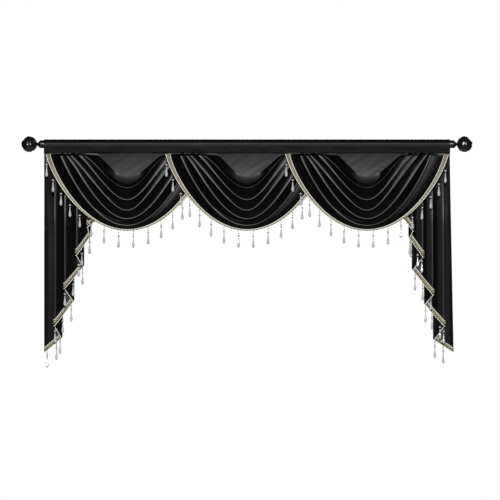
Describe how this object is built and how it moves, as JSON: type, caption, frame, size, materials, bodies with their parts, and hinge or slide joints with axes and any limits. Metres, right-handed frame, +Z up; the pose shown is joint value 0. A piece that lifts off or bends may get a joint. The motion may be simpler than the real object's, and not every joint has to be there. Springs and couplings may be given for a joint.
{
  "type": "window valance on a curtain rod",
  "caption": "Black satin valance with lapped swags, pleated side tails, gold braid and hanging crystal drops, on a round rod with ball finials.",
  "frame": {"origin": "middle of the rod's axis, where the wall brackets carry it", "axes": "+X along the rod to the viewer's right, +Y towards the wall, +Z up"},
  "size_m": [2.222, 0.1104, 1.1224],
  "materials": {
    "gloss_black": "gloss black lacquer",
    "black_satin": "heavy black satin, soft sheen",
    "gold_braid": "woven gold and cream braid with clear crystal drops"
  },
  "bodies": {
    "root": {"rod": "gloss_black", "finial_left": "gloss_black", "finial_right": "gloss_black", "heading": "black_satin", "swag_left": "black_satin", "swag_centre": "black_satin", "swag_right": "black_satin", "tail_left": "black_satin", "tail_right": "black_satin", "trim_swag_left": "gold_braid", "trim_swag_centre": "gold_braid", "trim_swag_right": "gold_braid", "trim_tail_left": "gold_braid", "trim_tail_right": "gold_braid"}
  },
  "joints": []
}
